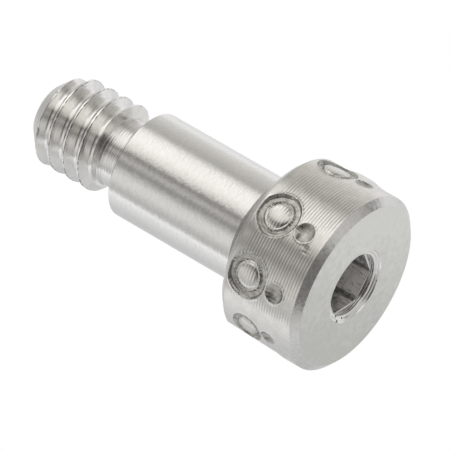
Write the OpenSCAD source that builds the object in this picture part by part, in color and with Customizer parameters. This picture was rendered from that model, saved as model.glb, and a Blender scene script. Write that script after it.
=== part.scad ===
// Socket head shoulder bolt, turned from one bar.
// Frame: the axis is Z. The flat end face of the head lies on z = 0, the
// threaded end points to +Z, and a corner of the hex socket is on +X.

/* [Head] */
// Diameter of the head
head_d = 7.93; // [7.4:0.01:8.5]
// Height of the head, from its end face to its bearing face
head_h = 3.94; // [3.6:0.01:4.6]
// Radial width of the chamfer round the end face
rim_w = 0.33; // [0.1:0.01:0.5]
// Axial height of the chamfer round the end face
rim_h = 0.28; // [0.1:0.01:0.5]
// Chamfer on the bearing-face edge of the head
back_c = 0.24; // [0.05:0.01:0.5]

/* [Hex socket] */
// Width across the flats of the hex socket
hex_af = 2.42; // [2.3:0.01:2.6]
// Depth of the full hexagon
hex_depth = 2.2; // [1.6:0.05:2.3]
// Mouth diameter of the countersink in front of the hexagon
mouth_d = 3.36; // [3.2:0.01:3.6]
// Depth of the countersink
mouth_h = 0.14; // [0.08:0.01:0.25]
// Diameter of the short counterbore between countersink and hexagon
bore_d = 2.82; // [2.8:0.01:2.95]
// Depth of the counterbore, where the flats of the hexagon begin
bore_h = 0.32; // [0.2:0.01:0.5]
// Diameter of the drilled hole behind the hexagon
pilot_d = 2.3; // [1.8:0.01:2.35]
// Depth of the drilled hole, without its point
pilot_depth = 2.5; // [2.4:0.05:2.7]
// Included angle of the drill point
drill_angle = 118; // [90:1:140]

/* [Shoulder] */
// Ground diameter of the shoulder
shoulder_d = 4.75; // [4.6:0.01:4.9]
// Length from the bearing face of the head to the end of the shoulder
shoulder_l = 7.225; // [5:0.005:20]
// Diameter of the relief groove under the head
relief_d = 4.40; // [4.2:0.01:4.55]
// Length of the relief groove, with its sloping wall
relief_l = 0.82; // [0.5:0.01:1.2]
// Diameter that the relief reaches in the bearing face
relief_face_d = 5.00; // [4.9:0.01:5.3]
// Depth of the relief in the bearing face
relief_face_h = 0.08; // [0.04:0.01:0.15]
// Edge break at the end of the shoulder
edge_c = 0.06; // [0.02:0.01:0.2]

/* [Thread] */
// Major diameter of the thread
thread_d = 4.14; // [4.0:0.01:4.3]
// Pitch of the thread
pitch = 0.79375; // [0.7:0.00005:0.85]
// Diameter of the neck between shoulder and thread
neck_d = 3.10; // [2.8:0.01:3.16]
// Length of the straight neck
neck_l = 1.29; // [0.8:0.01:1.5]
// Length from the end of the shoulder to the end of the bolt
thread_l = 4.945; // [4.5:0.005:12]
// Diameter of the flat at the threaded end
end_d = 2.60; // [2:0.01:3]
// Angle round the axis, in degrees, at which the crest is highest at the start
thread_turn = 10; // [0:1:359]
// Facets of the thread in one turn
thread_facets = 60; // [36:4:72]

/* [Hidden] */
$fn = 96;

head_r = head_d / 2;
shoulder_r = shoulder_d / 2;
relief_r = relief_d / 2;
thread_r = thread_d / 2;
neck_r = neck_d / 2;
end_r = end_d / 2;
z_shoulder = head_h + shoulder_l;         // end of the shoulder
z_neck = z_shoulder + neck_l;             // end of the straight neck
z_end = z_shoulder + thread_l;            // end of the bolt
fillet = 0.12;                            // corner radius at the foot of the neck

// One pitch of the 60 degree thread form, from crest to crest, with a flat of
// an eighth of a pitch on the crest and of a quarter in the root:
// [fraction of a pitch, radius].
flank = 5 / 16 * pitch * sqrt(3);
root_r = thread_r - flank;
form = [
    [-1 / 16, thread_r],
    [1 / 16, thread_r],
    [6 / 16, root_r],
    [10 / 16, root_r]
];
rows_per_turn = len(form);
// Height of the first row of the helical surface. It starts inside the neck
// and runs past the end, and the blank below trims it to its true length.
z_first = z_neck + 0.145 - 2 * pitch - pitch * thread_turn / 360;
turns = ceil((z_end - z_first) / pitch) + 1;
rows = turns * rows_per_turn;

function row_h(k) = floor(k / rows_per_turn) + form[k % rows_per_turn][0];
function row_r(k) = form[k % rows_per_turn][1];
function row_point(i, k) =
    let (a = 360 * i / thread_facets, z = z_first + pitch * (row_h(k) + i / thread_facets))
    [row_r(k) * cos(a), row_r(k) * sin(a), z];

// The helical surface of a right-hand thread as one closed solid.
module helical_rod() {
    n = thread_facets;
    k1 = rows - 1;
    s = rows_per_turn;
    pts = concat(
        [for (i = [0:n - 1]) for (k = [0:k1]) row_point(i, k)],
        [[0, 0, row_point(0, 0)[2]], [0, 0, row_point(n - 1, k1)[2]]]
    );
    lo = n * rows;
    hi = lo + 1;
    side = [for (i = [0:n - 2]) for (k = [0:k1 - 1])
        let (a = i * rows + k, b = a + 1, c = (i + 1) * rows + k + 1, d = c - 1)
        for (t = [[a, b, c], [a, c, d]]) t];
    seam = [for (k = [0:k1 - 1 - s])
        let (a = (n - 1) * rows + k, b = a + 1, c = k + 1 + s, d = c - 1)
        for (t = [[a, b, c], [a, c, d]]) t];
    foot = concat(
        [for (i = [0:n - 2]) [lo, i * rows, (i + 1) * rows]],
        [[lo, (n - 1) * rows, s]],
        [for (j = [0:s - 1]) [lo, j + 1, j]]
    );
    top = concat(
        [for (i = [0:n - 2]) [hi, (i + 1) * rows + k1, i * rows + k1]],
        [[hi, k1, (n - 1) * rows + k1 - s]],
        [for (k = [k1 - s:k1 - 1]) [hi, (n - 1) * rows + k, (n - 1) * rows + k + 1]]
    );
    polyhedron(points = pts, faces = concat(side, seam, foot, top), convexity = 6);
}

// The turned blank that the thread is cut on: an almost square wall out of the
// neck, the full diameter, and the chamfer down to the flat at the end.
module thread_blank() {
    w = thread_r + 0.15;
    rotate_extrude()
        polygon([
            [0, z_neck - 0.1],
            [neck_r - 0.05, z_neck - 0.1],
            [neck_r + 0.05, z_neck],
            [w, z_neck + 0.07],
            [w, z_end - (w - end_r)],
            [end_r, z_end],
            [0, z_end]
        ]);
}

module threaded_end() {
    intersection() {
        helical_rod();
        thread_blank();
    }
}

// Head, relief groove, ground shoulder and neck, turned round the axis. The
// relief is cut a little into the bearing face too, so that a ring can seat
// on the face right up to the shoulder.
module turned_body() {
    wall = shoulder_r - relief_r;
    rotate_extrude()
        polygon([
            [0, 0],
            [head_r - rim_w, 0],
            [head_r, rim_h],
            [head_r, head_h - back_c],
            [head_r - back_c, head_h],
            [relief_face_d / 2, head_h],
            [relief_r, head_h - relief_face_h],
            [relief_r, head_h + relief_l - wall],
            [shoulder_r, head_h + relief_l],
            [shoulder_r, z_shoulder - edge_c],
            [shoulder_r - edge_c, z_shoulder],
            [neck_r + fillet, z_shoulder],
            [neck_r + fillet * 0.3, z_shoulder + fillet * 0.3],
            [neck_r, z_shoulder + fillet],
            [neck_r, z_neck + 0.3],
            [0, z_neck + 0.3]
        ]);
}

// The socket: a countersunk mouth, a short counterbore as wide as the corners
// of the hexagon, the hexagon, and the drilled hole with its point. The flats
// begin at the foot of the counterbore, on six small crescent ledges. A corner
// of the hexagon is on +X.
module socket() {
    hex_r = hex_af / sqrt(3);
    slope = (mouth_d - bore_d) / 2 / mouth_h;
    translate([0, 0, 0.1]) cylinder(r = hex_r, h = hex_depth - 0.1, $fn = 6);
    rotate_extrude()
        polygon([
            [0, -0.5],
            [mouth_d / 2 + 0.5 * slope, -0.5],
            [bore_d / 2, mouth_h],
            [bore_d / 2, bore_h],
            [0, bore_h]
        ]);
    rotate_extrude()
        polygon([
            [0, 1],
            [pilot_d / 2, 1],
            [pilot_d / 2, pilot_depth],
            [0, pilot_depth + pilot_d / 2 / tan(drill_angle / 2)]
        ]);
}

module shoulder_bolt() {
    color([0.76, 0.75, 0.73])
        difference() {
            union() {
                turned_body();
                threaded_end();
            }
            socket();
        }
}

shoulder_bolt();
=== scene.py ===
import math

import bpy
import numpy as np
from mathutils import Matrix, Vector


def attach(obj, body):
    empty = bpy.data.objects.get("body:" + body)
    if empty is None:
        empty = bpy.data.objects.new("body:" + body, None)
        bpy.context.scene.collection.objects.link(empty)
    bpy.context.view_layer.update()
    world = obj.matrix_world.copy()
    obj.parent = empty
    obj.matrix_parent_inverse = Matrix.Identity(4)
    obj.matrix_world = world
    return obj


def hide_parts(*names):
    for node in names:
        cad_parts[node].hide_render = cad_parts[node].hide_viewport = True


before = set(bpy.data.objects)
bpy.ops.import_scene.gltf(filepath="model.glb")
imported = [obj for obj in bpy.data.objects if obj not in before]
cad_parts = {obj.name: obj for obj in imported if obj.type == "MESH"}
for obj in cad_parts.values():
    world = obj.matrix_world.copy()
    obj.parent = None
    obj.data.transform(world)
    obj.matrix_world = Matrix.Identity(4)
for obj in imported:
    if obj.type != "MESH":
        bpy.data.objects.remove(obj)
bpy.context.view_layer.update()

# ----------------------------------------------------------------------------
# Sizes in millimetres. They repeat the construction: the axis is Z, the flat
# end of the head lies on z = 0, and a corner of the socket is on +X.
# ----------------------------------------------------------------------------
MM = 0.001
HEAD_R, HEAD_H = 3.965, 3.94
RIM_W, RIM_H, BACK_C = 0.33, 0.28, 0.24
HEX_AF, HEX_DEPTH = 2.42, 2.2
MOUTH_R, MOUTH_H, BORE_R, BORE_H = 1.68, 0.14, 1.41, 0.32
PILOT_R, PILOT_DEPTH = 1.15, 2.5
SHOULDER_R, Z_SHOULDER = 2.375, 11.165
RELIEF_R, RELIEF_FACE_R, RELIEF_FACE_H, RELIEF_L = 2.20, 2.50, 0.08, 0.82
EDGE_C = 0.06
THREAD_R, PITCH = 2.07, 0.79375
NECK_R, NECK_FILLET = 1.55, 0.12
Z_NECK, Z_END, END_R = 12.455, 16.11, 1.30
ROOT_R = THREAD_R - 5 / 16 * PITCH * math.sqrt(3)
THREAD_TURN = 10.0
TAU = 2 * math.pi

SOCKET, CONE, FACE, RIM, SIDE, STAMP, BACK, GROUND, NECK, THREAD, END, CREST = range(12)


def smooth(a, b, x):
    t = np.clip((np.asarray(x, float) - a) / (b - a), 0, 1)
    return t * t * (3 - 2 * t)


def wave_noise(seed, count, low, high):
    """A seeded sum of waves round the axis and along it, about -1 to 1."""
    rng = np.random.RandomState(seed)
    k = rng.randint(low, high, count)
    m = rng.uniform(-9, 9, count)
    p = rng.uniform(0, TAU, count)
    a = rng.uniform(0.4, 1.0, count)
    a /= np.sqrt((a * a).sum() / 2) * 2.0

    def value(psi, z):
        s = 0.0
        for i in range(count):
            s = s + a[i] * np.sin(k[i] * psi + m[i] * z + p[i])
        return s

    return value


# ----------------------------------------------------------------------------
# The skin: rings of points round the axis, joined one to the next from the
# bottom of the socket, out over the head and along to the threaded end.
# ----------------------------------------------------------------------------
class Skin:
    def __init__(self):
        self.points, self.count, self.faces, self.mats = [], 0, [], []

    def ring(self, psi, r, z):
        psi = np.asarray(psi, float)
        r = np.broadcast_to(np.asarray(r, float), psi.shape)
        z = np.broadcast_to(np.asarray(z, float), psi.shape)
        self.points.append(np.stack([r * np.cos(psi), r * np.sin(psi), z], -1))
        first = self.count
        self.count += len(psi)
        return np.arange(first, self.count), psi

    def point(self, z):
        self.points.append(np.array([[0.0, 0.0, z]]))
        self.count += 1
        return self.count - 1

    def band(self, a, b, mat):
        (ia, pa), (ib, pb) = a, b
        if len(ia) == len(ib):
            n = len(ia)
            for i in range(n):
                j = (i + 1) % n
                self.faces.append((ia[i], ia[j], ib[j], ib[i]))
                self.mats.append(mat)
            return
        na, nb = len(ia), len(ib)
        i = j = 0
        while i < na or j < nb:
            next_a = pa[i + 1] if i + 1 < na else TAU
            next_b = pb[j + 1] if j + 1 < nb else TAU
            if j >= nb or (i < na and next_a <= next_b):
                self.faces.append((ia[i % na], ia[(i + 1) % na], ib[j % nb]))
                i += 1
            else:
                self.faces.append((ia[i % na], ib[(j + 1) % nb], ib[j % nb]))
                j += 1
            self.mats.append(mat)

    def fan_in(self, tip, ring, mat):
        """A cap at the start of the skin."""
        ids = ring[0]
        n = len(ids)
        for i in range(n):
            self.faces.append((tip, ids[(i + 1) % n], ids[i]))
            self.mats.append(mat)

    def fan_out(self, ring, tip, mat):
        """A cap at the end of the skin."""
        ids = ring[0]
        n = len(ids)
        for i in range(n):
            self.faces.append((ids[i], ids[(i + 1) % n], tip))
            self.mats.append(mat)


def rounded(points, support=0.03):
    """A turned profile [(r, z, fillet radius)] with its corners rounded, and a
    row close to each fillet so that the flats stay flat in the shading."""
    out = [np.array(points[0][:2], float)]
    for k in range(1, len(points) - 1):
        p0, p1, p2 = (np.array(points[k + d][:2], float) for d in (-1, 0, 1))
        rad = points[k][2]
        u = (p0 - p1) / np.linalg.norm(p0 - p1)
        v = (p2 - p1) / np.linalg.norm(p2 - p1)
        half = math.acos(np.clip(u @ v, -1, 1)) / 2
        cut = min(rad / math.tan(half), 0.45 * np.linalg.norm(p0 - p1), 0.45 * np.linalg.norm(p2 - p1))
        rad = cut * math.tan(half)
        a, b = p1 + u * cut, p1 + v * cut
        for side, d, length in ((a, u, np.linalg.norm(p0 - p1)),):
            if length > 2 * cut + 2.5 * support:
                out.append(side + d * support)
        centre = p1 + (u + v) / np.linalg.norm(u + v) * rad / math.sin(half)
        steps = 4
        ang_a = math.atan2(*(a - centre)[::-1])
        ang_b = math.atan2(*(b - centre)[::-1])
        turn = (ang_b - ang_a + math.pi) % TAU - math.pi
        for s in range(steps + 1):
            t = ang_a + turn * s / steps
            out.append(centre + rad * np.array([math.cos(t), math.sin(t)]))
        if np.linalg.norm(p2 - p1) > 2 * cut + 2.5 * support:
            out.append(b + v * support)
    out.append(np.array(points[-1][:2], float))
    return out


skin = Skin()

# --- columns ---------------------------------------------------------------
MARKS = [-9.0, -66.0, -107.0, -146.0]
MARK_SIZE = [0.93, 1.0, 1.0, 0.76]
FLAT_AT, FLAT_CUT = -169.0, 0.120


def head_columns(total):
    """Columns round the head, close together where the head is stamped."""
    fine = np.linspace(0, 360, 7201)
    w = np.full(fine.shape, 1 / 2.0)
    for m, half in [(m, 15.6 if s > 0.9 else 11.8) for m, s in zip(MARKS, MARK_SIZE)]:
        d = np.abs((fine - m + 180) % 360 - 180)
        w = np.maximum(w, 1 / 2.0 + (1 / 0.53 - 1 / 2.0) * (1 - smooth(half, half + 1.6, d)))
    c = np.concatenate([[0], np.cumsum((w[1:] + w[:-1]) / 2)])
    return np.radians(np.interp(np.arange(total) / total, c / c[-1], fine))


COL_HEAD = head_columns(382)
COL_BODY = np.arange(128) * TAU / 128
COL_THREAD = np.arange(136) * TAU / 136

flat_steps = [-0.5, -0.485, -0.45, -0.38, -0.3, -0.2, -0.1, 0.0, 0.1, 0.2, 0.3, 0.38, 0.45, 0.485]
COL_HEX = np.array([
    math.radians(30 + 60 * k) + math.atan(s * 2 / math.sqrt(3))
    for k in range(6) for s in flat_steps])
FLAT_POS = np.array([s for k in range(6) for s in flat_steps])
FLAT_NO = np.array([k for k in range(6) for s in flat_steps])

# --- socket ----------------------------------------------------------------
hex_r = HEX_AF / 2 / np.cos(COL_HEX % math.radians(60) - math.radians(30))
mid = smooth(0.5, 0.43, np.abs(FLAT_POS))
broach = wave_noise(5, 7, 9, 40)
chatter = wave_noise(8, 6, 4, 18)
torn = wave_noise(9, 9, 8, 46)

tip = skin.point(PILOT_DEPTH + PILOT_R / math.tan(math.radians(59)))
drill = [skin.ring(COL_HEX, r, PILOT_DEPTH + (PILOT_R - r) / math.tan(math.radians(59)))
         for r in (0.12, 0.5, 0.9, PILOT_R - 0.03)]
skin.fan_in(tip, drill[0], SOCKET)
rows = drill + [skin.ring(COL_HEX, PILOT_R, PILOT_DEPTH - 0.03),
                skin.ring(COL_HEX, PILOT_R, HEX_DEPTH + 0.02),
                skin.ring(COL_HEX, PILOT_R + 0.02, HEX_DEPTH),
                skin.ring(COL_HEX, hex_r - 0.004, HEX_DEPTH)]
for t in np.linspace(0, 1, 29):
    z = HEX_DEPTH + (BORE_H + 0.030 - HEX_DEPTH) * t
    # broaching leaves long scores on the flats, and steps where it dug in
    score = 0.005 * broach(COL_HEX, 0.25 * z) + 0.014 * chatter(COL_HEX, 0.9 * z) * smooth(0.05, 0.3, t) * smooth(1.0, 0.9, t)
    tear = 0.034 * np.maximum(torn(COL_HEX, 1.6 * z) - 0.25, 0) * smooth(0.25, 0.6, t) * smooth(1.0, 0.93, t)
    rows.append(skin.ring(COL_HEX, hex_r + (score + tear) * mid, z))
for a, b in zip(rows[:-1], rows[1:]):
    skin.band(a, b, SOCKET)
last = rows[-1]
# the crescent ledges where the flats begin, and the short counterbore
burr = wave_noise(14, 8, 12, 60)
lip = np.minimum(hex_r + 0.050, BORE_R - 0.013)
bore = [(np.minimum(hex_r + 0.016, BORE_R - 0.014), BORE_H + 0.015), (lip, BORE_H),
        (0.5 * lip + 0.5 * (BORE_R - 0.012), BORE_H + 0.006), (BORE_R - 0.012, BORE_H),
        (BORE_R - 0.002, BORE_H - 0.006), (BORE_R, BORE_H - 0.02), (BORE_R + 0.002, 0.25),
        (BORE_R + 0.010, 0.235), (BORE_R + 0.002, 0.22), (BORE_R, MOUTH_H + 0.022)]
for k, (r, z) in enumerate(bore):
    r = np.minimum(r, BORE_R + 0.010) + 0.0030 * burr(COL_HEX, 3 * z) * (k > 4)
    new = skin.ring(COL_HEX, r, z)
    skin.band(last, new, STAMP if k in (2, 3) else CONE)
    last = new
# countersink: flat rings and short steep steps, as the tool chattered
cone = [(1.418, 0.150), (1.430, 0.143), (1.520, 0.134), (1.532, 0.128), (1.556, 0.086), (1.566, 0.078),
        (1.600, 0.071), (1.608, 0.073), (1.640, 0.064), (1.650, 0.058), (1.672, 0.012), (MOUTH_R, 0.0)]
for k, (r, z) in enumerate(cone):
    dr = 0.005 * burr(COL_HEX, 2 * r) * (k < len(cone) - 1)
    dz = 0.004 * torn(COL_HEX, 1.3 * r) * (0 < k < len(cone) - 2)
    new = skin.ring(COL_HEX, r + dr, np.maximum(z + dz, 0.001 if k < len(cone) - 1 else 0))
    skin.band(last, new, CONE)
    last = new

# --- end face of the head --------------------------------------------------
for r in (MOUTH_R + 0.018, MOUTH_R + 0.06):
    new = skin.ring(COL_HEX, r, 0.0)
    skin.band(last, new, FACE)
    last = new
for r in (1.85, 2.3, 2.9, 3.4):
    new = skin.ring(COL_BODY, r, 0.0)
    skin.band(last, new, FACE)
    last = new


# --- head side -------------------------------------------------------------
RIDGE, RIDGE_H = 0.1315, 0.0090
Z_RIDGE0, RIDGES = 0.315, 24
Z_RIDGE1 = Z_RIDGE0 + RIDGE * RIDGES
wobble = wave_noise(11, 9, 1, 14)
grain = wave_noise(12, 12, 20, 90)


def ridge_height(psi, z):
    """The fine rings left by the turning tool: round valleys, sharper crests."""
    x = (z - Z_RIDGE0) / RIDGE
    f = x - np.floor(x) - 0.5
    h = RIDGE_H * (4 * f * f - 0.5)
    return h * smooth(Z_RIDGE0 - 0.06, Z_RIDGE0 + 0.02, z) * (1 - smooth(Z_RIDGE1 - 0.35, Z_RIDGE1, z))


def groove(d, half, depth, lip=0.0):
    """A stamped groove: steep sides, a rounded floor and the metal pushed up
    along its edges. d is the distance from its middle line."""
    x = np.clip(np.abs(d) / half, 0, 1)
    chan = -depth * ((1 - smooth(0.55, 1.0, x)) * 0.70 + 0.30 * (1 - x * x))
    rim = lip * np.exp(-((np.abs(d) - half - 0.03) / 0.038) ** 2)
    return chan + rim, (1 - smooth(half * 0.92, half + 0.03, np.abs(d)))


dent = wave_noise(18, 12, 12, 70)


def stamp(u, z, k):
    """One stamped mark: a closed ring round a domed land, and a small round cup
    on the side towards the end of the head. u runs round the head, in mm."""
    tilt = [(-0.25, 0.2), (0.3, 0.25), (-0.35, 0.1), (-0.3, -0.2)][k]
    shift = [(0.02, 0.0), (0.0, 0.0), (-0.03, 0.02), (0.0, -0.10)][k]
    size = MARK_SIZE[k]
    u, z = (u - shift[0]) / size, 2.35 + (z - shift[1] - 2.35) / size
    rough = dent(u * 1.1 + 2.1 * k, 1.1 * z)
    a, b, zc = 0.83, 0.77, 2.735
    lean = np.clip(1 + 0.9 * (tilt[0] * u + tilt[1] * (z - 2.3)), 0.65, 1.35)
    q = np.sqrt((u / a) ** 2 + ((z - zc) / b) ** 2) + 1e-9
    d = (1 - 1 / q) * np.hypot(u, z - zc)
    h1, w1 = groove(d + 0.012 * rough, 0.165, 0.115, 0.012)
    # a second, finer line just inside, where the punch slipped
    h1 = h1 + 0.020 * np.exp(-((d + 0.195) / 0.032) ** 2) - 0.026 * np.exp(-((d + 0.265) / 0.032) ** 2)
    # the land inside the ring is left proud as a dome
    q2 = np.clip(q / 0.80, 0, 1)
    land = -0.105 * q2 ** 3 * (1 - smooth(0.80, 0.92, q))
    # the cup: a round punch mark, clear of the ring
    rc = 0.43
    d2 = np.hypot(u - [0.06, -0.12, -0.08, 0.16][k], z - 1.30) + 0.014 * rough
    h2 = -0.165 * (1 - np.clip(d2 / rc, 0, 1) ** 2.2) + 0.014 * np.exp(-((d2 - rc - 0.03) / 0.035) ** 2)
    w2 = 1 - smooth(rc * 0.94, rc + 0.03, d2)
    return ((h1 + h2) * lean + land) * size, np.maximum(w1, w2)


nick_noise = wave_noise(17, 14, 60, 260)


def nick(psi_deg, z):
    """A small torn spot beside one of the marks."""
    du = (psi_deg + 75.4) * math.radians(1) * HEAD_R
    e = np.exp(-((du / 0.24) ** 2 + ((z - 0.86 - 0.22 * du) / 0.17) ** 2))
    return e * (0.009 * nick_noise(np.radians(psi_deg), 3.1 * z) - 0.012), e


def flat_radius(psi, z):
    """The flat that a knock has left along one side of the head."""
    d = (psi - math.radians(FLAT_AT) + math.pi) % TAU - math.pi
    near = np.abs(d) < 0.5
    cut = FLAT_CUT * np.clip(0.30 + 0.70 * (z - 1.2) / 2.5, 0, 1)
    lim = (HEAD_R - cut) / np.cos(np.where(near, d, 0.5))
    return np.where(near, lim, HEAD_R + 1) + 0.4 * (1 - smooth(0.55, 1.30, z))


def head_surface(psi, z):
    deg = (np.degrees(psi) + 180) % 360 - 180
    h = ridge_height(psi, z)
    stamped = np.zeros_like(psi)
    for k, m in enumerate(MARKS):
        u = np.radians(deg - m) * HEAD_R
        near = np.abs(u) < 1.35 * MARK_SIZE[k]
        if not near.any():
            continue
        hs, ws = stamp(u, z, k)
        hs, ws = np.where(near, hs, 0.0), np.where(near, ws, 0.0)
        h = h * (1 - 0.95 * ws) + hs
        stamped = np.maximum(stamped, ws)
    hn, wn_ = nick(deg, z)
    h, stamped = h + hn, np.maximum(stamped, smooth(0.3, 0.6, wn_))
    # metal pushed out beyond the far side of one mark
    h = h + 0.115 * np.exp(-((deg - 9.5) / 6.5) ** 2 - ((z - 2.02) / 0.66) ** 4)
    h = h + 0.0010 * grain(psi, z * 3) * stamped + 0.0006 * wobble(psi, z)
    return HEAD_R + h, stamped


rim_rows = rounded([
    (3.4, 0.0, 0), (HEAD_R - RIM_W, 0.0, 0.035), (HEAD_R, RIM_H, 0.03), (HEAD_R, 0.6, 0)], 0.02)
rim_rows = [p for p in rim_rows[1:-1] if p[1] < Z_RIDGE0 - 0.003]
ragged = wave_noise(21, 10, 25, 110)
first = True
for p in rim_rows:
    edge = math.exp(-((p[0] - (HEAD_R - RIM_W)) / 0.03) ** 2) * (1 if p[1] > 0.001 else 0.0)
    new = skin.ring(COL_HEAD, p[0] + 0.004 * edge * ragged(COL_HEAD, 0), p[1])
    skin.band(last, new, FACE if first or p[1] < 1e-6 else RIM)
    first = False
    last = new

side_z = [Z_RIDGE0]
for k in range(RIDGES):
    side_z += [Z_RIDGE0 + RIDGE * (k + f) for f in (0.16, 0.38, 0.62, 0.84, 1.0)]
z_top = HEAD_H - BACK_C
side_z += list(np.linspace(Z_RIDGE1, z_top - 0.055, 8))[1:]
stamp_faces = []
prev_w = None
for z in side_z:
    r, w = head_surface(COL_HEAD, z)
    keep = 1 - smooth(z_top - 0.10, z_top - 0.05, z)
    new = skin.ring(COL_HEAD, np.minimum(HEAD_R + (r - HEAD_R) * keep, flat_radius(COL_HEAD, z)), z)
    start = len(skin.faces)
    skin.band(last, new, SIDE)
    if prev_w is not None:
        n = len(COL_HEAD)
        for i in range(n):
            if (w[i] + w[(i + 1) % n] + prev_w[i] + prev_w[(i + 1) % n]) / 4 > 0.5:
                skin.mats[start + i] = STAMP
    prev_w = w
    last = new

# --- back of the head, relief and shoulder ----------------------------------
back_rows = rounded([
    (HEAD_R, z_top - 0.3, 0), (HEAD_R, z_top, 0.03), (HEAD_R - BACK_C, HEAD_H, 0.03),
    (3.3, HEAD_H, 0)], 0.02)
for p in back_rows[1:-1]:
    if p[1] < z_top - 0.045:
        continue
    new = skin.ring(COL_HEAD, np.minimum(p[0], flat_radius(COL_HEAD, p[1])), p[1])
    skin.band(last, new, BACK)
    last = new

wall = SHOULDER_R - RELIEF_R
body_rows = rounded([
    (3.5, HEAD_H, 0),
    (RELIEF_FACE_R, HEAD_H, 0.02),
    (RELIEF_R, HEAD_H - RELIEF_FACE_H, 0.05),
    (RELIEF_R, HEAD_H + RELIEF_L - wall, 0.06),
    (SHOULDER_R, HEAD_H + RELIEF_L, 0.025),
    (SHOULDER_R, Z_SHOULDER - EDGE_C, 0.02),
    (SHOULDER_R - EDGE_C, Z_SHOULDER, 0.02),
    (1.95, Z_SHOULDER, 0)], 0.03)
for k, p in enumerate(body_rows[:-1]):
    new = skin.ring(COL_BODY, p[0], p[1])
    if p[1] <= HEAD_H + 1e-6 or p[0] < SHOULDER_R - 0.17 and p[1] < 5:
        mat = BACK
    elif p[1] < HEAD_H + RELIEF_L:
        mat = BACK
    else:
        mat = GROUND
    skin.band(last, new, mat)
    last = new

# --- neck ------------------------------------------------------------------
neck_rows = rounded([
    (2.10, Z_SHOULDER, 0),
    (NECK_R, Z_SHOULDER, NECK_FILLET),
    (NECK_R, Z_NECK, 0)], 0.02)
for k, p in enumerate(neck_rows[:-1]):
    if k == 0:
        new = skin.ring(COL_BODY, p[0], p[1])
        skin.band(last, new, GROUND)
        last = new
        new = skin.ring(COL_THREAD, p[0] - 0.06, p[1])
        skin.band(last, new, NECK)
        last = new
        continue
    new = skin.ring(COL_THREAD, p[0], p[1])
    skin.band(last, new, NECK)
    last = new
neck_lines = wave_noise(31, 5, 1, 4)
z0 = neck_rows[-2][1]
for z in np.linspace(z0, Z_NECK - 0.06, 58)[1:]:
    lines = 0.0027 * math.sin(z * 47.0) + 0.0016 * math.sin(z * 83.0 + 1.3)
    fade = float(smooth(z0, z0 + 0.08, z) * (1 - smooth(Z_NECK - 0.16, Z_NECK - 0.07, z)))
    new = skin.ring(COL_THREAD, NECK_R + (lines + 0.001 * neck_lines(COL_THREAD, z)) * fade, z)
    skin.band(last, new, NECK)
    last = new
for r, z in ((NECK_R + 0.004, Z_NECK - 0.035), (NECK_R + 0.015, Z_NECK - 0.016), (NECK_R + 0.034, Z_NECK - 0.004),
             (NECK_R + 0.050, Z_NECK)):
    new = skin.ring(COL_THREAD, r, z)
    skin.band(last, new, NECK)
    last = new

# --- thread ----------------------------------------------------------------
STEPS = [-0.5, -0.455, -0.415, -0.39, -0.372, -0.352, -0.32, -0.26, -0.20, -0.14, -0.10, -0.079, -0.062,
         -0.047, -0.02, 0.01, 0.04, 0.056, 0.073, 0.095, 0.135, 0.195, 0.255, 0.32, 0.352, 0.372, 0.39, 0.415, 0.455]


def thread_radius(x):
    """Radius of the 60 degree form, x in pitches from the middle of a crest."""
    ax = np.abs(x)
    r = THREAD_R - np.maximum(0, ax - 1 / 16) * PITCH * math.sqrt(3)
    root = ROOT_R + 1.25 * ((ax - 0.5) * PITCH) ** 2
    k = 0.022
    m = np.clip(0.5 + 0.5 * (r - root) / k, 0, 1)
    return root * (1 - m) + r * m + k * m * (1 - m)


def wall_z(r):
    """Height of the almost square wall where the thread begins."""
    return Z_NECK + (r - NECK_R - 0.05) * 0.07 / 0.62


per = len(STEPS)
turns = int(math.ceil((Z_END - Z_NECK) / PITCH)) + 3
base = 12.6 - PITCH * THREAD_TURN / 360 - 2 * PITCH
nick_crest = wave_noise(41, 16, 7, 60)
nick_flank = wave_noise(42, 9, 5, 24)
n = len(COL_THREAD)

# where the thread's surface meets the wall, found by going round a few times
edge_z = np.full(n, Z_NECK + 0.02)
for _ in range(40):
    x = (edge_z - base) / PITCH - COL_THREAD / TAU
    edge_r = np.maximum(thread_radius(x - np.round(x)), NECK_R + 0.056)
    edge_z = 0.5 * edge_z + 0.5 * wall_z(edge_r)

grid = np.zeros((n, turns * per, 3))
low = np.zeros((n, turns * per), bool)
high = np.zeros((n, turns * per), bool)
chamfered = np.zeros((n, turns * per), bool)
for k in range(turns * per):
    x = STEPS[k % per]
    q = k // per + x
    z = base + PITCH * (q + COL_THREAD / TAU)
    r = np.full(n, float(thread_radius(x)))
    turn_psi = COL_THREAD + TAU * (k // per)
    crest = math.exp(-(x / 0.07) ** 2)
    away = smooth(0.0, 0.08, z - edge_z)
    r = r + away * 0.006 * crest * np.minimum(nick_crest(turn_psi * 0.9, 0.3 * (k // per)), 0.2)
    # the edges of the crest are rolled down a little, and torn in places
    edge = math.exp(-((abs(x) - 1 / 16) / 0.020) ** 2)
    r = r - away * edge * (0.001 + 0.007 * smooth(-0.3, 0.6, nick_crest(turn_psi * 0.8 + 2.0 * (x > 0), 0.4)))
    r = r - away * 0.026 * math.exp(-((x - 0.06) / 0.025) ** 2) * smooth(0.05, 0.6, nick_crest(turn_psi * 1.3 + 1.0, 0.7))
    r = r + away * 0.0016 * (1 - crest) * nick_flank(turn_psi, 4 * x)
    cut = END_R + (Z_END - z)
    s = 0.02
    chamfered[:, k] = cut < r
    m = np.clip(0.5 + 0.5 * (cut - r) / s, 0, 1)
    r = cut * (1 - m) + r * m - s * m * (1 - m)
    low[:, k], high[:, k] = z <= edge_z + 0.003, z >= Z_END - 0.004
    grid[:, k] = np.stack([r, COL_THREAD, z], -1)

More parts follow.
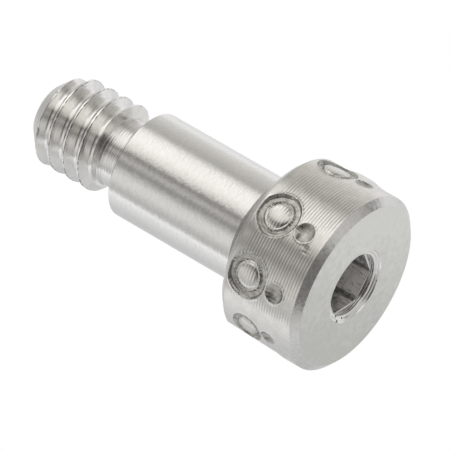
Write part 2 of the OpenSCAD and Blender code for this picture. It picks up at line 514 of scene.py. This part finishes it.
for t in (0.12, 0.4, 0.7, 0.93, 1.0):
    r = NECK_R + 0.05 + (edge_r - NECK_R - 0.05) * t
    new = skin.ring(COL_THREAD, r, wall_z(r))
    skin.band(last, new, THREAD)
    last = new
neck_ring = last
end_ring = skin.ring(COL_THREAD, END_R, Z_END)
index = np.zeros((n, turns * per), int)
for i in range(n):
    for k in range(turns * per):
        if low[i, k]:
            index[i, k] = neck_ring[0][i]
        elif high[i, k]:
            index[i, k] = end_ring[0][i]
        else:
            index[i, k] = -1
free = index < 0
new_points = grid[free]
start = skin.count
skin.points.append(np.stack([new_points[:, 0] * np.cos(new_points[:, 1]),
                             new_points[:, 0] * np.sin(new_points[:, 1]), new_points[:, 2]], -1))
skin.count += len(new_points)
index[free] = np.arange(start, skin.count)


def thread_face(a, b, c, d, mat):
    ring = []
    for v in (a, b, c, d):
        if v not in ring:
            ring.append(v)
    if len(ring) >= 3:
        skin.faces.append(tuple(ring))
        skin.mats.append(mat)


for i in range(n):
    j = (i + 1) % n
    for k in range(turns * per - 1):
        k2 = k + per if j == 0 else k
        if k2 + 1 >= turns * per:
            c, d = end_ring[0][j], end_ring[0][j]
        else:
            c, d = index[j, k2 + 1], index[j, k2]
        middle = (STEPS[k % per] + STEPS[(k + 1) % per]) / 2
        mat = CREST if 0.045 < abs(middle) < 0.075 else THREAD
        if chamfered[i, k] and chamfered[i, k + 1]:
            mat = END
        thread_face(index[i, k], d, c, index[i, k + 1], mat)
if not low[:, 0].all() or not high[-1, turns * per - 1 - per:].all() or not low[0, :per + 1].all():
    raise RuntimeError("the thread's rows don't reach past both ends")

# --- flat at the threaded end ----------------------------------------------
last = end_ring
for r, z in ((END_R - 0.02, Z_END), (END_R - 0.08, Z_END), (0.75, Z_END), (0.2, Z_END)):
    new = skin.ring(COL_THREAD, r, z)
    skin.band(last, new, END)
    last = new
skin.fan_out(last, skin.point(Z_END), END)

# ----------------------------------------------------------------------------
# The mesh
# ----------------------------------------------------------------------------
co = np.concatenate(skin.points) * MM
mesh = bpy.data.meshes.new("shoulder_bolt_skin")
mesh.from_pydata([tuple(p) for p in co], [], [tuple(int(v) for v in f) for f in skin.faces])
mesh.polygons.foreach_set("material_index", np.array(skin.mats, np.int32))
mesh.polygons.foreach_set("use_smooth", np.ones(len(skin.faces), bool))
mesh.validate()
mesh.update()
mesh.set_sharp_from_angle(angle=math.radians(42))
bolt = bpy.data.objects.new("bolt", mesh)
bpy.context.scene.collection.objects.link(bolt)
tris = sum(len(f) - 2 for f in skin.faces)
print("triangles", tris, "points", len(co))


# ----------------------------------------------------------------------------
# Materials: one bare steel, finished in different ways
# ----------------------------------------------------------------------------
class Nodes:
    def __init__(self, name):
        self.mat = bpy.data.materials.new(name)
        self.mat.use_nodes = True
        self.t = self.mat.node_tree
        self.t.nodes.clear()
        self.out = self.add("ShaderNodeOutputMaterial")
        self.bsdf = self.add("ShaderNodeBsdfPrincipled")
        self.link(self.bsdf.outputs[0], self.out.inputs[0])
        tc = self.add("ShaderNodeTexCoord")
        v = self.add("ShaderNodeVectorMath", operation="SCALE")
        v.inputs["Scale"].default_value = 1000.0
        self.link(tc.outputs["Object"], v.inputs[0])
        self.mm = v.outputs[0]

    def add(self, kind, **props):
        nd = self.t.nodes.new(kind)
        for k, v in props.items():
            setattr(nd, k, v)
        return nd

    def link(self, a, b):
        self.t.links.new(a, b)

    def math(self, op, a, b=None, clamp=False):
        nd = self.add("ShaderNodeMath", operation=op, use_clamp=clamp)
        for i, s in enumerate((a, b)):
            if s is None:
                continue
            if isinstance(s, (int, float)):
                nd.inputs[i].default_value = s
            else:
                self.link(s, nd.inputs[i])
        return nd.outputs[0]

    def scaled(self, sx, sy, sz, src=None):
        m = self.add("ShaderNodeVectorMath", operation="MULTIPLY")
        self.link(src or self.mm, m.inputs[0])
        m.inputs[1].default_value = (sx, sy, sz)
        return m.outputs[0]

    def polar(self):
        """(distance from the axis, x, y, z) of the point, in mm."""
        s = self.add("ShaderNodeSeparateXYZ")
        self.link(self.mm, s.inputs[0])
        x, y, z = s.outputs
        r = self.math("SQRT", self.math("ADD", self.math("MULTIPLY", x, x), self.math("MULTIPLY", y, y)))
        return r, x, y, z

    def noise(self, vec, scale=1.0, detail=3.0, rough=0.5, distortion=0.0):
        nd = self.add("ShaderNodeTexNoise")
        nd.inputs["Scale"].default_value = scale
        nd.inputs["Detail"].default_value = detail
        nd.inputs["Roughness"].default_value = rough
        nd.inputs["Distortion"].default_value = distortion
        self.link(vec, nd.inputs["Vector"])
        return nd.outputs[0]

    def ranged(self, val, a, b, c, d):
        nd = self.add("ShaderNodeMapRange")
        for i, v in enumerate((a, b, c, d)):
            nd.inputs[i + 1].default_value = v
        self.link(val, nd.inputs[0])
        return nd.outputs[0]

    def ramp(self, val, stops):
        nd = self.add("ShaderNodeValToRGB")
        el = nd.color_ramp.elements
        while len(el) < len(stops):
            el.new(0.5)
        for e, (p, c) in zip(el, stops):
            e.position, e.color = p, (*c, 1)
        self.link(val, nd.inputs[0])
        return nd.outputs[0]

    def bump(self, height, distance, strength=1.0, under=None):
        nd = self.add("ShaderNodeBump")
        nd.inputs["Distance"].default_value = distance
        nd.inputs["Strength"].default_value = strength
        self.link(height, nd.inputs["Height"])
        if under is not None:
            self.link(under, nd.inputs["Normal"])
        return nd.outputs[0]

    def finish(self, color, rough, aniso=0.0, rotation=0.25, normal=None, metallic=1.0):
        b = self.bsdf.inputs
        b["Metallic"].default_value = metallic
        if isinstance(color, tuple):
            b["Base Color"].default_value = (*color, 1)
        else:
            self.link(color, b["Base Color"])
        if isinstance(rough, float):
            b["Roughness"].default_value = rough
        else:
            self.link(rough, b["Roughness"])
        b["Anisotropic"].default_value = aniso
        b["Anisotropic Rotation"].default_value = rotation
        if aniso:
            tan = self.add("ShaderNodeTangent", direction_type="RADIAL", axis="Z")
            self.link(tan.outputs[0], b["Tangent"])
        if normal is not None:
            self.link(normal, b["Normal"])
        return self.mat


STEEL = (0.76, 0.75, 0.73)


def shade(k):
    return tuple(c * k for c in STEEL)


def steel_socket():
    """The broached hexagon: scores along the flats, torn steps, painted shade in the corners, deeper down and on
    alternate flats.
    """
    m = Nodes("steel_broached_painted_shade")
    r, x, y, z = m.polar()
    turn6 = m.math("MULTIPLY", m.math("ARCTAN2", y, x), 6 / TAU)
    corner = m.math("ABSOLUTE", m.math("SUBTRACT", m.math("FRACT", m.math("ADD", turn6, 12.5)), 0.5))
    scores = m.noise(m.scaled(13, 13, 0.8), 1.0, 4, 0.6)
    steps = m.noise(m.scaled(2.2, 2.2, 7.0), 1.0, 4, 0.6, 0.6)
    zones = m.noise(m.scaled(1.3, 1.3, 1.9), 1.0, 2, 0.5, 0.3)
    h = m.bump(scores, 0.00002, 0.9)
    h = m.bump(steps, 0.00004, 0.8, h)
    # painted shade: the colour is darkened towards the hexagon's corners
    level = m.math("MULTIPLY", m.ranged(scores, 0.32, 0.68, 0.5, 1.4), m.ranged(corner, 0.06, 0.15, 0.22, 1.0))
    level = m.math("MULTIPLY", level, m.ranged(steps, 0.36, 0.50, 0.55, 1.0))
    cuts = m.noise(m.scaled(4.2, 4.2, 0.75), 1.0, 3, 0.55, 0.5)
    cuts = m.math("ABSOLUTE", m.math("SUBTRACT", cuts, 0.5))
    level = m.math("MULTIPLY", level, m.ranged(zones, 0.44, 0.56, 0.70, 1.45))
    # painted light and shade: alternate flats of the hexagon are coloured lighter and darker
    alternate_flat_painted_shade = m.math("SINE", m.math("MULTIPLY", m.math("ARCTAN2", y, x), 3.0))
    level = m.math("MULTIPLY", level, m.ranged(alternate_flat_painted_shade, -0.3, 0.3, 1.95, 0.42))
    # painted shade: the colour darkens deeper down the socket and lightens near its mouth
    level = m.math("MINIMUM", m.math("MULTIPLY", level, m.ranged(z, 0.3, 2.2, 1.35, 0.85)), 1.0)
    level = m.math("MULTIPLY", level, m.ranged(cuts, 0.004, 0.030, 0.45, 1.0))
    col = m.ramp(level, [(0.0, (0.05, 0.048, 0.045)), (0.5, (0.55, 0.54, 0.52)), (1.0, (0.99, 0.97, 0.94))])
    return m.finish(col, m.ranged(scores, 0.3, 0.7, 0.30, 0.50), 0.0, 0.0, h, metallic=0.18)


def steel_cone():
    m = Nodes("steel_countersunk")
    spots = m.noise(m.mm, 9.0, 3, 0.6)
    pits = m.noise(m.mm, 4.6, 2, 0.5)
    h = m.bump(spots, 0.000008, 0.7)
    level = m.ranged(pits, 0.25, 0.31, 0.12, 0.92)
    # three small pits beside one corner
    for r, turn_deg, size in ((1.62, 181.5, 0.050), (1.43, 187.0, 0.055), (1.52, 166.0, 0.035)):
        away = m.add("ShaderNodeVectorMath", operation="DISTANCE")
        m.link(m.mm, away.inputs[0])
        a = math.radians(turn_deg)
        away.inputs[1].default_value = (r * math.cos(a), r * math.sin(a), 0.14 if r < 1.6 else 0.07)
        level = m.math("MULTIPLY", level, m.ranged(away.outputs["Value"], size, size + 0.03, 0.06, 1.0))
    col = m.ramp(level, [(0.0, (0.03, 0.03, 0.03)), (1.0, shade(1.06))])
    return m.finish(col, m.ranged(spots, 0.3, 0.7, 0.14, 0.24), 0.0, 0.0, h)


def steel_face():
    m = Nodes("steel_faced")
    r, x, y, z = m.polar()
    comb = m.add("ShaderNodeCombineXYZ")
    m.link(r, comb.inputs[0])
    lines = m.noise(m.scaled(11, 1, 1, comb.outputs[0]), 1.0, 4, 0.65)
    fine = m.noise(m.mm, 14.0, 4, 0.6)
    spots = m.noise(m.mm, 3.4, 4, 0.62, 0.2)
    wide = m.noise(m.mm, 0.45, 2, 0.5)
    h = m.bump(fine, 0.000004, 0.5)
    h = m.bump(lines, 0.000004, 0.30, h)
    # painted light and shade: the faced end is coloured lighter towards +X and a little towards -Y
    painted_light_gradient = m.math("ADD", m.math("MULTIPLY", x, 0.080), m.math("MULTIPLY", y, -0.012))
    tone = m.math("ADD", m.math("ADD", m.math("MULTIPLY", spots, 0.5), m.math("MULTIPLY", wide, 0.3)), painted_light_gradient)
    col = m.ramp(tone, [(0.2, (0.62, 0.62, 0.60)), (0.4, (0.70, 0.70, 0.68)), (0.6, (0.79, 0.79, 0.77))])
    return m.finish(col, m.ranged(spots, 0.3, 0.7, 0.50, 0.43), 0.0, 0.0, h)


def steel_rim():
    m = Nodes("steel_rim")
    lines = m.noise(m.scaled(1.5, 1.5, 22), 1.0, 3, 0.6)
    spots = m.noise(m.mm, 7.0, 3, 0.6)
    h = m.bump(lines, 0.000005, 0.6)
    h = m.bump(spots, 0.000006, 0.5, h)
    col = m.ramp(spots, [(0.3, shade(0.82)), (0.65, shade(0.96))])
    return m.finish(col, m.ranged(spots, 0.3, 0.7, 0.24, 0.36), 0.5, 0.25, h)


def steel_side():
    m = Nodes("steel_turned")
    lines = m.noise(m.scaled(0.9, 0.9, 16), 1.0, 4, 0.6)
    mottle = m.noise(m.mm, 2.4, 4, 0.6)
    fine = m.noise(m.scaled(5, 5, 14), 1.0, 3, 0.6)
    h = m.bump(lines, 0.000006, 0.5)
    h = m.bump(fine, 0.000004, 0.5, h)
    col = m.ramp(mottle, [(0.3, (0.64, 0.625, 0.592)), (0.5, (0.69, 0.675, 0.642)), (0.7, (0.745, 0.73, 0.696))])
    return m.finish(col, m.ranged(fine, 0.3, 0.7, 0.22, 0.32), 0.6, 0.25, h)


def steel_stamp():
    m = Nodes("steel_stamped")
    mottle = m.noise(m.mm, 5.0, 4, 0.6)
    fine = m.noise(m.mm, 14.0, 3, 0.6)
    h = m.bump(fine, 0.000006, 0.5)
    col = m.ramp(mottle, [(0.3, (0.28, 0.27, 0.255)), (0.5, (0.42, 0.41, 0.385)), (0.7, (0.60, 0.585, 0.55))])
    return m.finish(col, m.ranged(mottle, 0.3, 0.7, 0.22, 0.36), 0.0, 0.0, h)


def steel_back():
    m = Nodes("steel_back")
    lines = m.noise(m.scaled(1.2, 1.2, 18), 1.0, 4, 0.6)
    mottle = m.noise(m.mm, 2.0, 3, 0.55)
    h = m.bump(lines, 0.000006, 0.6)
    col = m.ramp(mottle, [(0.3, shade(0.76)), (0.7, shade(0.87))])
    return m.finish(col, m.ranged(lines, 0.3, 0.7, 0.26, 0.38), 0.4, 0.25, h)


def steel_ground():
    m = Nodes("steel_ground")
    lines = m.noise(m.scaled(0.8, 0.8, 9), 1.0, 5, 0.7)
    short = m.noise(m.scaled(4.0, 4.0, 9), 1.0, 3, 0.6)
    cloud = m.noise(m.scaled(0.8, 0.8, 0.5), 1.0, 3, 0.5)
    h = m.bump(lines, 0.000003, 0.35)
    h = m.bump(short, 0.000009, 1.0, h)
    tone = m.math("ADD", m.math("MULTIPLY", cloud, 0.25), m.math("MULTIPLY", short, 0.75))
    col = m.ramp(tone, [(0.3, shade(0.935)), (0.7, shade(1.035))])
    return m.finish(col, m.ranged(lines, 0.3, 0.7, 0.16, 0.22), 0.75, 0.25, h)


def steel_neck():
    m = Nodes("steel_neck")
    lines = m.noise(m.scaled(0.7, 0.7, 13), 1.0, 4, 0.6)
    h = m.bump(lines, 0.000008, 0.7)
    col = m.ramp(lines, [(0.3, shade(0.9)), (0.7, shade(1.02))])
    return m.finish(col, m.ranged(lines, 0.3, 0.7, 0.14, 0.24), 0.5, 0.25, h)


def steel_thread():
    m = Nodes("steel_threaded")
    r, x, y, z = m.polar()
    comb = m.add("ShaderNodeCombineXYZ")
    m.link(r, comb.inputs[0])
    rings = m.noise(m.scaled(9, 1, 1, comb.outputs[0]), 1.0, 2, 0.5)
    fine = m.noise(m.scaled(4, 4, 9), 1.0, 4, 0.65)
    mottle = m.noise(m.mm, 2.2, 4, 0.6, 0.3)
    h = m.bump(fine, 0.000006, 0.5)
    h = m.bump(rings, 0.000012, 0.8, h)
    col = m.ramp(mottle, [(0.3, shade(0.94)), (0.5, shade(1.04)), (0.7, shade(1.11))])
    return m.finish(col, m.ranged(mottle, 0.3, 0.7, 0.13, 0.22), 0.3, 0.25, h)


def steel_crest():
    """The rolled edges of the thread's crest, with painted shade in broken dark lines."""
    m = Nodes("steel_crest_edge_painted_shade")
    fine = m.noise(m.mm, 6.0, 3, 0.6)
    broken = m.noise(m.mm, 6.0, 4, 0.65)
    h = m.bump(fine, 0.000006, 0.5)
    # painted shade: broken dark lines along the edges of the crest
    col = m.ramp(broken, [(0.42, shade(0.16)), (0.49, shade(0.60)), (0.54, shade(1.05))])
    return m.finish(col, m.ranged(fine, 0.3, 0.7, 0.16, 0.26), 0.3, 0.25, h)


def steel_end():
    m = Nodes("steel_cut_end")
    r, x, y, z = m.polar()
    comb = m.add("ShaderNodeCombineXYZ")
    m.link(r, comb.inputs[0])
    lines = m.noise(m.scaled(12, 1, 1, comb.outputs[0]), 1.0, 4, 0.65)
    cloud = m.noise(m.mm, 2.0, 4, 0.6)
    h = m.bump(lines, 0.000006, 0.6)
    col = m.ramp(cloud, [(0.3, shade(0.84)), (0.7, shade(0.97))])
    return m.finish(col, m.ranged(lines, 0.3, 0.7, 0.30, 0.42), 0.0, 0.0, h)


for make in (steel_socket, steel_cone, steel_face, steel_rim, steel_side, steel_stamp, steel_back,
             steel_ground, steel_neck, steel_thread, steel_end, steel_crest):
    mesh.materials.append(make())

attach(bolt, "root")
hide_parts("shoulder_bolt")

# ----------------------------------------------------------------------------
# Studio: a soft white tent with a bright strip, a few darker gaps and the dark
# side where the camera stands. It is built round the bolt's own axis.
# ----------------------------------------------------------------------------
world = bpy.data.worlds.new("studio")
bpy.context.scene.world = world
world.use_nodes = True
wt = world.node_tree
wt.nodes.clear()


def wn(kind, **props):
    nd = wt.nodes.new(kind)
    for k, v in props.items():
        setattr(nd, k, v)
    return nd


def wmath(op, a, b=None, c=None):
    nd = wn("ShaderNodeMath", operation=op)
    for i, s in enumerate((a, b, c)):
        if s is None:
            continue
        if isinstance(s, (int, float)):
            nd.inputs[i].default_value = s
        else:
            wt.links.new(s, nd.inputs[i])
    return nd.outputs[0]


def wrange(val, a, b, c, d):
    nd = wn("ShaderNodeMapRange", interpolation_type="SMOOTHSTEP")
    for i, v in enumerate((a, b, c, d)):
        nd.inputs[i + 1].default_value = v
    wt.links.new(val, nd.inputs[0])
    return nd.outputs[0]


def wmix(fac, a, b):
    nd = wn("ShaderNodeMix", data_type="RGBA")
    wt.links.new(fac, nd.inputs[0])
    for s, sock in ((a, nd.inputs[6]), (b, nd.inputs[7])):
        if isinstance(s, tuple):
            sock.default_value = (*s, 1)
        else:
            wt.links.new(s, sock)
    return nd.outputs[2]


tc = wn("ShaderNodeTexCoord")
sep = wn("ShaderNodeSeparateXYZ")
wt.links.new(tc.outputs["Generated"], sep.inputs[0])
dx, dy, dz = sep.outputs
turn = wmath("FRACT", wmath("DIVIDE", wmath("ADD", wmath("ARCTAN2", dy, dx), math.radians(260)), TAU))

# going round the tent: position, level, warmth (+ warm, - cool)
TENT = [
    (0.000, 0.88, -0.9), (0.055, 0.68, -0.9), (0.100, 0.67, -0.9), (0.150, 0.74, -0.9),
    (0.220, 0.95, -0.9), (0.258, 1.18, -0.4), (0.270, 0.58, 0.5), (0.300, 0.60, 0.5),
    (0.345, 0.88, 0.5), (0.385, 0.88, 0.5), (0.412, 0.60, 0.6), (0.442, 0.31, 0.8),
    (0.472, 0.66, 1.4), (0.492, 0.44, 1.5), (0.508, 0.24, 1.5), (0.524, 0.66, 1.6),
    (0.545, 0.95, 1.6), (0.590, 1.21, 1.2), (0.640, 1.24, 0.8), (0.674, 1.02, 0.9),
    (0.706, 0.53, 1.5), (0.760, 0.65, 1.5), (0.825, 0.81, 1.0), (0.870, 1.04, -0.2),
    (0.930, 0.86, -1.0), (1.000, 0.88, -0.9)]
ramp = wn("ShaderNodeValToRGB")
el = ramp.color_ramp.elements
while len(el) < len(TENT):
    el.new(0.5)
for e, (p, level, warm) in zip(el, TENT):
    e.position = p
    e.color = (level * (1 + 0.012 * warm), level, level * (1 - 0.022 * warm), 1)
wt.links.new(turn, ramp.inputs[0])

tent = ramp.outputs[0]
# the ends of the tent, along the bolt's axis
tent = wmix(wrange(dz, 0.70, 0.88, 0, 1), tent, (0.80, 0.80, 0.79))
tent = wmix(wrange(dz, -0.55, -0.75, 0, 1), tent, (0.66, 0.655, 0.645))
c10, s10 = math.cos(math.radians(10)), math.sin(math.radians(10))


def spot(tent, direction, inner, outer, color, limit=None):
    """A round patch of the tent: angles in degrees from its middle. limit
    keeps it away from directions above a height."""
    x, y, z = direction
    dot = wn("ShaderNodeVectorMath", operation="DOT_PRODUCT")
    wt.links.new(tc.outputs["Generated"], dot.inputs[0])
    dot.inputs[1].default_value = Vector((x * c10 - y * s10, x * s10 + y * c10, z)).normalized()
    fac = wrange(dot.outputs["Value"], math.cos(math.radians(outer)), math.cos(math.radians(inner)), 0, 1)
    if limit:
        fac = wmath("MULTIPLY", fac, wrange(dz, limit[0], limit[1], 1, 0))
    return wmix(fac, tent, color)


# the far side of the tent is dimmer overhead
far = wn("ShaderNodeVectorMath", operation="DOT_PRODUCT")
wt.links.new(tc.outputs["Generated"], far.inputs[0])
far.inputs[1].default_value = (-s10, c10, 0.0)
over = wmath("MULTIPLY", wrange(dz, 0.52, 0.68, 0, 1), wrange(far.outputs["Value"], 0.10, 0.40, 0, 1))
tent = wmix(over, tent, (0.80, 0.795, 0.785))
# the seam of the tent at one side, just under the height that cylinders mirror
seam = wn("ShaderNodeVectorMath", operation="DOT_PRODUCT")
wt.links.new(tc.outputs["Generated"], seam.inputs[0])
seam.inputs[1].default_value = (math.cos(math.radians(-16)), math.sin(math.radians(-16)), 0.0)
side = wrange(seam.outputs["Value"], 0.84, 0.95, 0.10, 0.95)
low = wmath("MULTIPLY", wrange(dz, 0.38, 0.14, 0, 1), wrange(dz, -0.30, -0.05, 0, 1))
tent = wmix(wmath("MULTIPLY", low, side), tent, (0.20, 0.195, 0.19))
# a lamp high up on the same side
tent = spot(tent, (0.593, -0.385, 0.707), 7, 15, (1.45, 1.43, 1.40))
# a bright panel and two small gaps below, on the far side
tent = spot(tent, (0.0, 0.8935, -0.449), 14, 28, (0.84, 0.84, 0.825))
tent = spot(tent, (0.27, 0.13, -0.955), 8, 16, (0.95, 0.93, 0.90))
tent = spot(tent, (0.456, 0.32, -0.83), 3, 13, (0.40, 0.395, 0.39))
tent = spot(tent, (0.72, 0.40, -0.567), 4, 16, (0.27, 0.265, 0.26))
# the dark side where the camera stands, and the dark floor under it
tent = spot(tent, (-0.20, -0.34, -0.919), 24, 33, (0.18, 0.175, 0.17))
tent = spot(tent, (-0.606, -0.776, -0.17), 14, 30, (0.24, 0.23, 0.22), (0.12, 0.36))
strip = wrange(wmath("ABSOLUTE", wmath("SUBTRACT", turn, 0.481)), 0.026, 0.056, 1, 0)
strip = wmath("MULTIPLY", strip, wmath("MULTIPLY", wrange(dz, 0.18, 0.38, 1, 0), wrange(dz, -0.80, -0.60, 0, 1)))
tent = wmix(strip, tent, (0.17, 0.167, 0.162))
tent = spot(tent, (0.0, -0.8935, -0.449), 17, 28, (0.07, 0.068, 0.065))
# and a small dark opening over the threaded end
tent = wmix(wrange(dz, 0.92, 0.965, 0, 1), tent, (0.14, 0.14, 0.14))

bg_light = wn("ShaderNodeBackground")
wt.links.new(tent, bg_light.inputs["Color"])
bg_light.inputs["Strength"].default_value = 1.0
bg_seen = wn("ShaderNodeBackground")
bg_seen.inputs["Color"].default_value = (1, 1, 1, 1)
bg_seen.inputs["Strength"].default_value = 1.0
path = wn("ShaderNodeLightPath")
mix = wn("ShaderNodeMixShader")
wt.links.new(path.outputs["Is Camera Ray"], mix.inputs[0])
wt.links.new(bg_light.outputs[0], mix.inputs[1])
wt.links.new(bg_seen.outputs[0], mix.inputs[2])
wout = wn("ShaderNodeOutputWorld")
wt.links.new(mix.outputs[0], wout.inputs[0])

# floor: pale, with the bolt standing on it. It is seen from above only.
size = 0.4
fm = bpy.data.meshes.new("floor")
fm.from_pydata([(-size, -size, 0), (size, -size, 0), (size, size, 0), (-size, size, 0)], [], [(0, 1, 2, 3)])
floor = bpy.data.objects.new("floor", fm)
floor.location = (0, 0, -0.00002)
bpy.context.scene.collection.objects.link(floor)
fmat = bpy.data.materials.new("floor_pale")
fmat.use_nodes = True
ft = fmat.node_tree
ft.nodes.clear()
fo = ft.nodes.new("ShaderNodeOutputMaterial")
fd = ft.nodes.new("ShaderNodeBsdfDiffuse")
fd.inputs[0].default_value = (0.96, 0.96, 0.955, 1)
fe = ft.nodes.new("ShaderNodeEmission")
fe.inputs[0].default_value = (1, 1, 1, 1)
fe.inputs[1].default_value = 0.22
fa = ft.nodes.new("ShaderNodeAddShader")
ft.links.new(fd.outputs[0], fa.inputs[0])
ft.links.new(fe.outputs[0], fa.inputs[1])
tr = ft.nodes.new("ShaderNodeBsdfTransparent")
geo = ft.nodes.new("ShaderNodeNewGeometry")
mx = ft.nodes.new("ShaderNodeMixShader")
ft.links.new(geo.outputs["Backfacing"], mx.inputs[0])
ft.links.new(fa.outputs[0], mx.inputs[1])
ft.links.new(tr.outputs[0], mx.inputs[2])
ft.links.new(mx.outputs[0], fo.inputs[0])
fm.materials.append(fmat)
floor.visible_diffuse = False
floor.visible_glossy = False
floor.visible_transmission = False
floor.visible_shadow = False

# ----------------------------------------------------------------------------
# Camera: the photograph's viewing angle
# ----------------------------------------------------------------------------
turn10 = Matrix.Rotation(math.radians(10), 3, "Z")
right = turn10 @ Vector((0.5011, 0.3887, -0.7732))
up = turn10 @ Vector((0.8654, -0.2250, 0.4477))
back = turn10 @ Vector((0.0, -0.8935, -0.4491))
right.normalize()
back = (back - right * back.dot(right)).normalized()
up = back.cross(right)
where = (right * -5.293 + up * 2.503 + back * 238.1) * MM
cam_data = bpy.data.cameras.new("camera")
cam_data.sensor_width = 36.0
cam_data.lens = 469.6
cam_data.clip_start = 0.01
cam_data.clip_end = 20.0
cam = bpy.data.objects.new("camera", cam_data)
cam.matrix_world = Matrix((
    (right.x, up.x, back.x, where.x),
    (right.y, up.y, back.y, where.y),
    (right.z, up.z, back.z, where.z),
    (0, 0, 0, 1)))
bpy.context.scene.collection.objects.link(cam)
bpy.context.scene.camera = cam

bpy.context.scene.view_settings.view_transform = "Standard"
bpy.context.scene.view_settings.look = "None"
